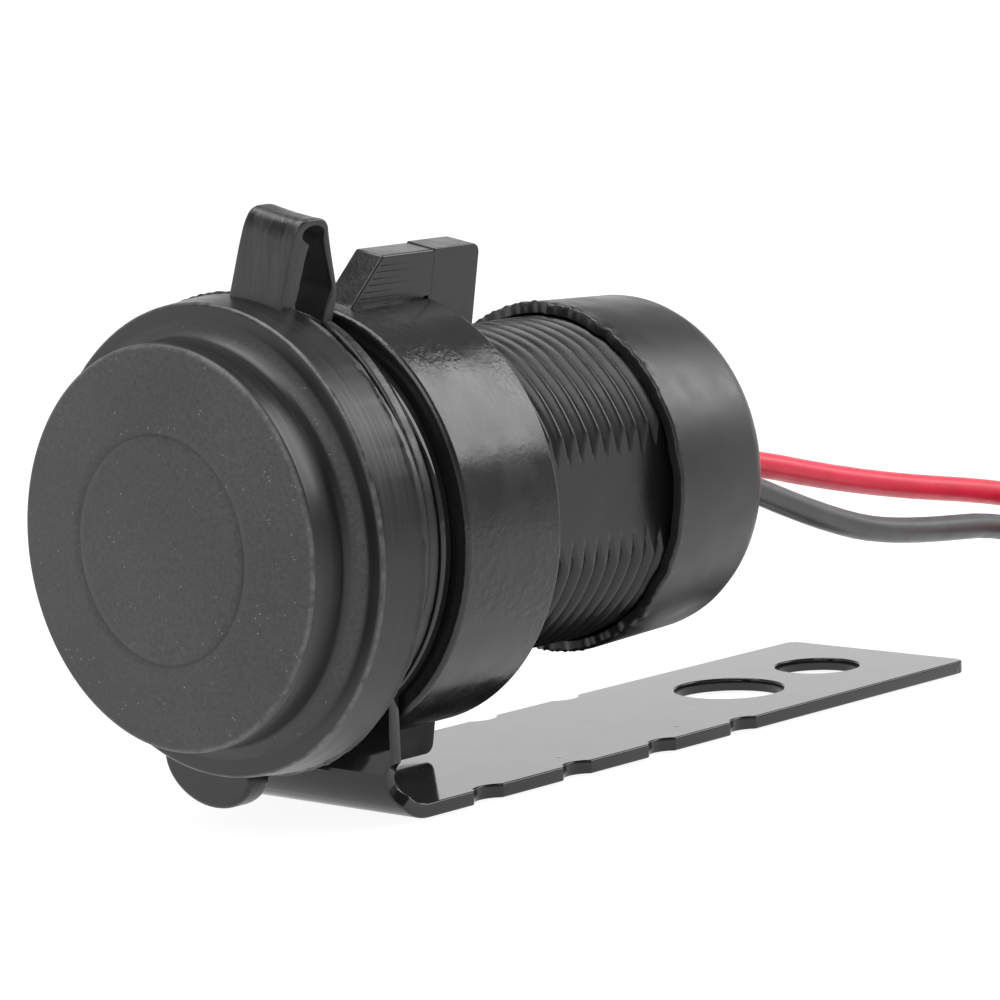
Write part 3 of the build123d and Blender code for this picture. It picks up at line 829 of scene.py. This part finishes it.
def flat_pattern(name):
    """Sheet cut to the bracket's outline, with rounded edges, before it is folded."""
    curve = bpy.data.curves.new(name, "CURVE")
    curve.dimensions = "2D"
    curve.fill_mode = "BOTH"
    loops = [
        bracket_outline(),
        circle(HEAD_BORE, 0, 128),
        circle(LARGE_HOLE_RADIUS, LARGE_HOLE_PLACE + foot_start),
        circle(SMALL_HOLE_RADIUS, SMALL_HOLE_PLACE + foot_start),
    ]
    for loop in loops:
        spline = curve.splines.new("POLY")
        spline.points.add(len(loop) - 1)
        for target, (x, y) in zip(spline.points, loop):
            target.co = (x, y, 0, 1)
        spline.use_cyclic_u = True
    curve.extrude = SHEET / 2 - EDGE_ROUND
    curve.bevel_depth = EDGE_ROUND
    curve.bevel_resolution = 2
    curve.offset = -EDGE_ROUND
    flat = new_object(name, curve)
    mesh = plain_mesh(flat)
    bpy.data.objects.remove(flat)
    return mesh


def bracket_mesh(name):
    """The flat pattern, cut across its bend and folded, with level faces shaded flat."""
    mesh = flat_pattern(name)
    work = bmesh.new()
    work.from_mesh(mesh)
    bmesh.ops.remove_doubles(work, verts=work.verts, dist=1e-4)
    for step in range(BEND_CUTS + 1):
        along = upright_end + (bend_end - upright_end) * step / BEND_CUTS
        bmesh.ops.bisect_plane(
            work, geom=work.verts[:] + work.edges[:] + work.faces[:],
            plane_co=(0, along, 0), plane_no=(0, 1, 0),
        )
    for vertex in work.verts:
        x, along, depth = vertex.co
        vertex.co = Vector(folded(x, along, -depth)) * MM
    bmesh.ops.recalc_face_normals(work, faces=work.faces)
    work.to_mesh(mesh)
    work.free()
    obj = soften(new_object(name, mesh), crease=50)
    for face in mesh.polygons:
        face.use_smooth = max(abs(face.normal.y), abs(face.normal.z)) < LEVEL
    return obj


bracket = bracket_mesh("bracket")
piece(bracket, "socket", BRACKET_PAINT, "bracket_paint", "mounting_bracket")


# Socket body: flange with its mouth, and the barrel with its thread and flats
FLANGE_FRONT = -7.3
FLANGE_REAR = -1.3
FLANGE_RADIUS = 17.0
MOUTH_RADIUS = 12.4
MOUTH_FLOOR = -1.2
BARREL_BORE = 11.4
BARREL_END = 40.5
FLAT_DISTANCE = 13.1
THREAD_PITCH = 1.6
THREAD_ROOT = 13.4
THREAD_CREST = 14.3
THREAD_FULLNESS = 1.7
THREAD_START = 1.2
THREAD_END = 34.8
THREAD_ROWS = 10


def thread_height(phase):
    """Share of the thread's depth at a phase of its pitch: rounded crest and narrow root."""
    return 1 - (1 - abs(2 * (phase % 1.0) - 1)) ** THREAD_FULLNESS


def barrel_shape(place, radius, angle):
    """Helical thread along the barrel, cut off by its two flats."""
    if place < THREAD_START or radius < MOUTH_RADIUS:
        return on_axis(place, radius, angle)
    if place < THREAD_END:
        height = thread_height(place / THREAD_PITCH - angle / (2 * pi))
        radius = THREAD_ROOT + (THREAD_CREST - THREAD_ROOT) * height
    x, y, z = on_axis(place, radius, angle)
    return (max(-FLAT_DISTANCE, min(FLAT_DISTANCE, x)), y, z)


barrel_profile = rounded([
    (FLANGE_FRONT, MOUTH_RADIUS, 0.3), (FLANGE_FRONT, FLANGE_RADIUS, 0.5), (FLANGE_REAR, FLANGE_RADIUS, 0.2),
    (FLANGE_REAR, THREAD_CREST, 0),
], 5)
thread_count = round((THREAD_END - THREAD_START) / THREAD_PITCH * THREAD_ROWS)
for step in range(thread_count + 1):
    barrel_profile.append((THREAD_START + (THREAD_END - THREAD_START) * step / thread_count, THREAD_CREST))
barrel_profile += [
    (BARREL_END, THREAD_CREST), (BARREL_END, BARREL_BORE), (MOUTH_FLOOR, BARREL_BORE),
    (MOUTH_FLOOR, MOUTH_RADIUS),
]
barrel = lathe("barrel", barrel_profile, segments=200, shape=barrel_shape, crease=60)
piece(barrel, "socket", BARREL_PLASTIC, "barrel_plastic", "socket_body")


# Wing nut: ring and two fins, each stepped at its parting line and scored with fine drag lines
NUT_FRONT = 1.55
NUT_REAR = 13.1
NUT_BORE = 14.6
FIN_HALF = 1.6
FIN_ROUND = 0.2
FIN_START = 2.65
FIN_FOOT = 17.2
FIN_SHOULDER = 6.9
FIN_TIP = 22.5
FIN_END = 18.7
FIN_HEEL = 15.4
FIN_OVERLAP = 0.3
HEEL_START = 12.1
HEEL_TOP = 17.8
PARTING_STEP = 0.1
FRONT_TIP = FIN_TIP - PARTING_STEP
FRONT_HALF = FIN_HALF - PARTING_STEP / 2
SCORE_SKIN = 0.2
SCORE_HALF = 0.06
SCORE_INSET = 0.5
SCORE_DEPTHS = (0.12, 0.01)
DRAG_LINES = ((19.0, 10.4), (19.5, 9.2), (20.05, 10.9), (20.55, 9.4), (21.1, 10.6), (21.6, 9.6))
SLIT_PLACES = (10.3, 12.9)
SLIT_OUTS = (NUT_RADIUS - 0.1, NUT_RADIUS + 0.14)
SLIT_DEPTHS = (0.02, 0.25)
BAR_FACES = ((0, 1, 3, 2), (4, 6, 7, 5), (0, 4, 5, 1), (2, 3, 7, 6), (0, 2, 6, 4), (1, 5, 7, 3))
FIN_FRONT_OUTLINE = rounded([
    (FIN_START, FIN_FOOT, 0), (FIN_SHOULDER, FRONT_TIP, 0.3), (NUT_REAR + FIN_OVERLAP, FRONT_TIP, 0),
    (NUT_REAR + FIN_OVERLAP, FIN_FOOT, 0),
], 5)
FIN_REAR_OUTLINE = rounded([
    (NUT_REAR, FIN_TIP, 0.1), (FIN_END, FIN_TIP, 0.8), (FIN_END, FIN_HEEL, 0.3), (HEEL_START, FIN_HEEL, 0),
    (HEEL_START, HEEL_TOP, 0), (NUT_REAR, HEEL_TOP, 0),
], 5)


def fin_half(name, outline, half, facing):
    """Front or rear half of a fin that stands out from the axis at an angle."""
    return prism(name, outline, lambda place, out, depth: turned(place, out, depth, facing), half, FIN_ROUND)


def score_spans():
    """Drag lines and the slit at the fin's foot, as places, distances out and depths on one side."""
    spans = []
    for out, end in DRAG_LINES:
        slope = FIN_START + (FIN_SHOULDER - FIN_START) * (out - FIN_FOOT) / (FRONT_TIP - FIN_FOOT)
        spans.append(((slope + SCORE_INSET, end), (out - SCORE_HALF, out + SCORE_HALF), SCORE_DEPTHS))
    spans.append((SLIT_PLACES, SLIT_OUTS, SLIT_DEPTHS))
    return spans


def fin_scores(name, facing):
    """Cutters for both sides of a fin: bars whose depth changes from their first place to their last."""
    points, faces = [], []
    for sign in (-1, 1):
        skin = sign * (FRONT_HALF + SCORE_SKIN)
        for places, outs, depths in score_spans():
            base = len(points)
            for place, depth in zip(places, depths):
                reach = (sign * (FRONT_HALF - depth), skin)
                points += [turned(place, out, across, facing) for out in outs for across in reach]
            faces += [[base + corner for corner in face] for face in BAR_FACES]
    return solid(name, points, faces)


nut_profile = rounded([
    (NUT_FRONT, NUT_BORE, 0.3), (NUT_FRONT, NUT_RADIUS, 0.5), (NUT_REAR, NUT_RADIUS, 0.4),
    (NUT_REAR, NUT_BORE, 0.3),
], 8)
nut = lathe("nut", nut_profile, segments=224)
fins, scores = [], []
for facing in (NUT_TURN, NUT_TURN + pi):
    fins.append(fin_half("fin_front", FIN_FRONT_OUTLINE, FRONT_HALF, facing))
    fins.append(fin_half("fin_rear", FIN_REAR_OUTLINE, FIN_HALF, facing))
    scores.append(fin_scores("scores", facing))
combine(nut, fins)
combine(nut, scores, "DIFFERENCE")
even_faces(nut)
piece(nut, "nut", NUT_PLASTIC, "nut_plastic", "wing_nut")


# Rear boot: soft cup with a ragged rim and a hole for each lead
BOOT_RIM = 32.1
BOOT_RIM_END = 32.6
BOOT_SIDE = 33.4
BOOT_FLOOR = 42.3
BOOT_END = 44.9
BOOT_BORE = 14.45
BOOT_RADIUS = 15.5
BOOT_RIM_END_RADIUS = 15.48
BOOT_SIDE_RADIUS = 15.45
BOOT_END_RADIUS = 15.0
BOOT_END_ROUND = 2.2
LEAD_HOLE = 1.45
LEAD_HOLE_PLACE = 43.6
LEAD_HOLE_LENGTH = 8.0


def boot_shape(place, radius, angle):
    """Rim that is torn and wavy, most of all at its top and bottom."""
    if place < BOOT_RIM_END:
        torn = 0.7 + 0.5 * cos(2 * angle)
        place += 0.26 * ripple(angle, 7.0, 2.2) + 0.3 * torn * ripple(angle, 21.0, 5.5)
        if radius > (BOOT_BORE + BOOT_RADIUS) / 2:
            radius += 0.16 * torn * ripple(angle, 33.0, 9.4)
    return on_axis(place, radius, angle)


boot_profile = rounded([
    (BOOT_FLOOR, 0, 0), (BOOT_FLOOR, BOOT_BORE, 0.4), (BOOT_RIM, BOOT_BORE, 0.1),
    (BOOT_RIM, BOOT_RADIUS, 0.3), (BOOT_RIM_END, BOOT_RIM_END_RADIUS, 0), (BOOT_SIDE, BOOT_SIDE_RADIUS, 0),
    (BOOT_END, BOOT_END_RADIUS, BOOT_END_ROUND), (BOOT_END, 0, 0),
], 6)
boot = lathe("boot", boot_profile, segments=400, shape=boot_shape)
holes = []
for across in (-EXIT_ACROSS, EXIT_ACROSS):
    bpy.ops.mesh.primitive_cylinder_add(
        vertices=40, radius=LEAD_HOLE * MM, depth=LEAD_HOLE_LENGTH * MM,
        location=(across * MM, (PLATE_Y + LEAD_HOLE_PLACE) * MM, EXIT_HEIGHT * MM), rotation=(pi / 2, 0, 0),
    )
    holes.append(bpy.context.object)
combine(boot, holes, "DIFFERENCE")
piece(boot, "socket", BOOT_RUBBER, "boot_rubber", "rear_boot")


# Stage: pale floor, white surroundings and soft lights, all in metres
FLOOR_REACH = 6.0
FLOOR_DROP = -0.0002
FLOOR_GLOW = 0.92
DIM_GLOW = 0.45
DIM_SCALE = (4, 4, 4)
DIM_SHIFT = (-1.04, -0.92, 0)
SKY_STOPS = {"Z": ((0.22, 1.3), (0.48, 0.3)), "X": ((0.25, 1.0), (0.6, 0.4))}


def area_light(name, place, target, size, power):
    """Soft box at a place, facing a target."""
    light = bpy.data.lights.new(name, "AREA")
    light.shape = "RECTANGLE"
    light.size, light.size_y = size
    light.energy = power
    obj = new_object(name, light)
    obj.location = place
    obj.rotation_euler = (Vector(target) - Vector(place)).to_track_quat("-Z", "Y").to_euler()


def floor_material():
    """Glowing white floor with a dimmer patch to the right of the part, out of the camera's view."""
    shader = Shader("floor", Roughness=0.9, Specular_IOR_Level=0.1, Emission_Strength=1.0)
    shader.colour(shader.between(shader.grain(3, 2.0), 0.19, 0.21))
    patch = shader.tree.nodes.new("ShaderNodeTexGradient")
    patch.gradient_type = "SPHERICAL"
    shader.link(shader.stretched(DIM_SCALE, DIM_SHIFT), patch.inputs["Vector"])
    glow = shader.between(patch.outputs["Fac"], FLOOR_GLOW, DIM_GLOW, 0.05, 0.6)
    shader.link(glow, shader.principled.inputs["Emission Color"])
    return shader.material


def studio_world():
    """Surroundings: white round the horizon, less so on the right, and dim overhead."""
    world = bpy.data.worlds.new("studio")
    world.use_nodes = True
    tree = world.node_tree
    split = tree.nodes.new("ShaderNodeSeparateXYZ")
    tree.links.new(tree.nodes.new("ShaderNodeTexCoord").outputs["Generated"], split.inputs["Vector"])
    shades = colour_mix(tree, "MULTIPLY")
    for socket, (axis, stops) in zip((MIX_FIRST, MIX_SECOND), SKY_STOPS.items()):
        fade = tree.nodes.new("ShaderNodeMapRange")
        (low, first), (high, last) = stops
        fade.inputs["From Min"].default_value = low
        fade.inputs["From Max"].default_value = high
        fade.inputs["To Min"].default_value = first
        fade.inputs["To Max"].default_value = last
        tree.links.new(split.outputs[axis], fade.inputs["Value"])
        tree.links.new(fade.outputs["Result"], shades.inputs[socket])
    tree.links.new(shades.outputs[MIX_RESULT], tree.nodes["Background"].inputs["Color"])
    return world


floor_mesh = bpy.data.meshes.new("floor")
floor_corners = [(-1, -1), (1, -1), (1, 1), (-1, 1)]
floor_mesh.from_pydata(
    [(x * FLOOR_REACH, y * FLOOR_REACH, FLOOR_DROP) for x, y in floor_corners], [], [(0, 1, 2, 3)],
)
floor_mesh.materials.append(floor_material())
floor = new_object("floor", floor_mesh)
bpy.context.scene.world = studio_world()
area_light("rear_right", (0.3, 0.46, 0.43), (0, -0.04, 0.03), (0.46, 0.4), 2.7)
area_light("front_right", (0.17, -0.4, 0.5), (0, -0.04, 0.02), (0.42, 0.42), 1.8)
area_light("top", (-0.15, -0.05, 0.7), (0, -0.03, 0.02), (0.5, 0.5), 3.5)
bpy.context.scene.view_settings.view_transform = "Standard"


# Camera: the photograph's viewing angle
AZIMUTH, ELEVATION, ROLL = radians(41.9543), radians(7.8722), radians(-2.3019)
CAMERA_PLACE = (243.890, -301.949, 73.245)
SENSOR = 36.0
FOCAL_SHARE = 4.25208


def photo_camera():
    """Camera where the photograph was taken from, rolled a little."""
    back = Vector((sin(AZIMUTH) * cos(ELEVATION), -cos(AZIMUTH) * cos(ELEVATION), sin(ELEVATION)))
    right = Vector((0, 0, 1)).cross(back).normalized()
    up = back.cross(right)
    rolled_right = cos(ROLL) * right + sin(ROLL) * up
    rolled_up = cos(ROLL) * up - sin(ROLL) * right
    data = bpy.data.cameras.new("camera")
    data.sensor_width = SENSOR
    data.lens = SENSOR * FOCAL_SHARE
    data.clip_start = 0.01
    data.clip_end = 20.0
    camera = new_object("camera", data)
    facing = Matrix((rolled_right, rolled_up, back)).transposed().to_4x4()
    camera.matrix_world = Matrix.Translation(Vector(CAMERA_PLACE) * MM) @ facing
    return camera


bpy.context.scene.camera = photo_camera()
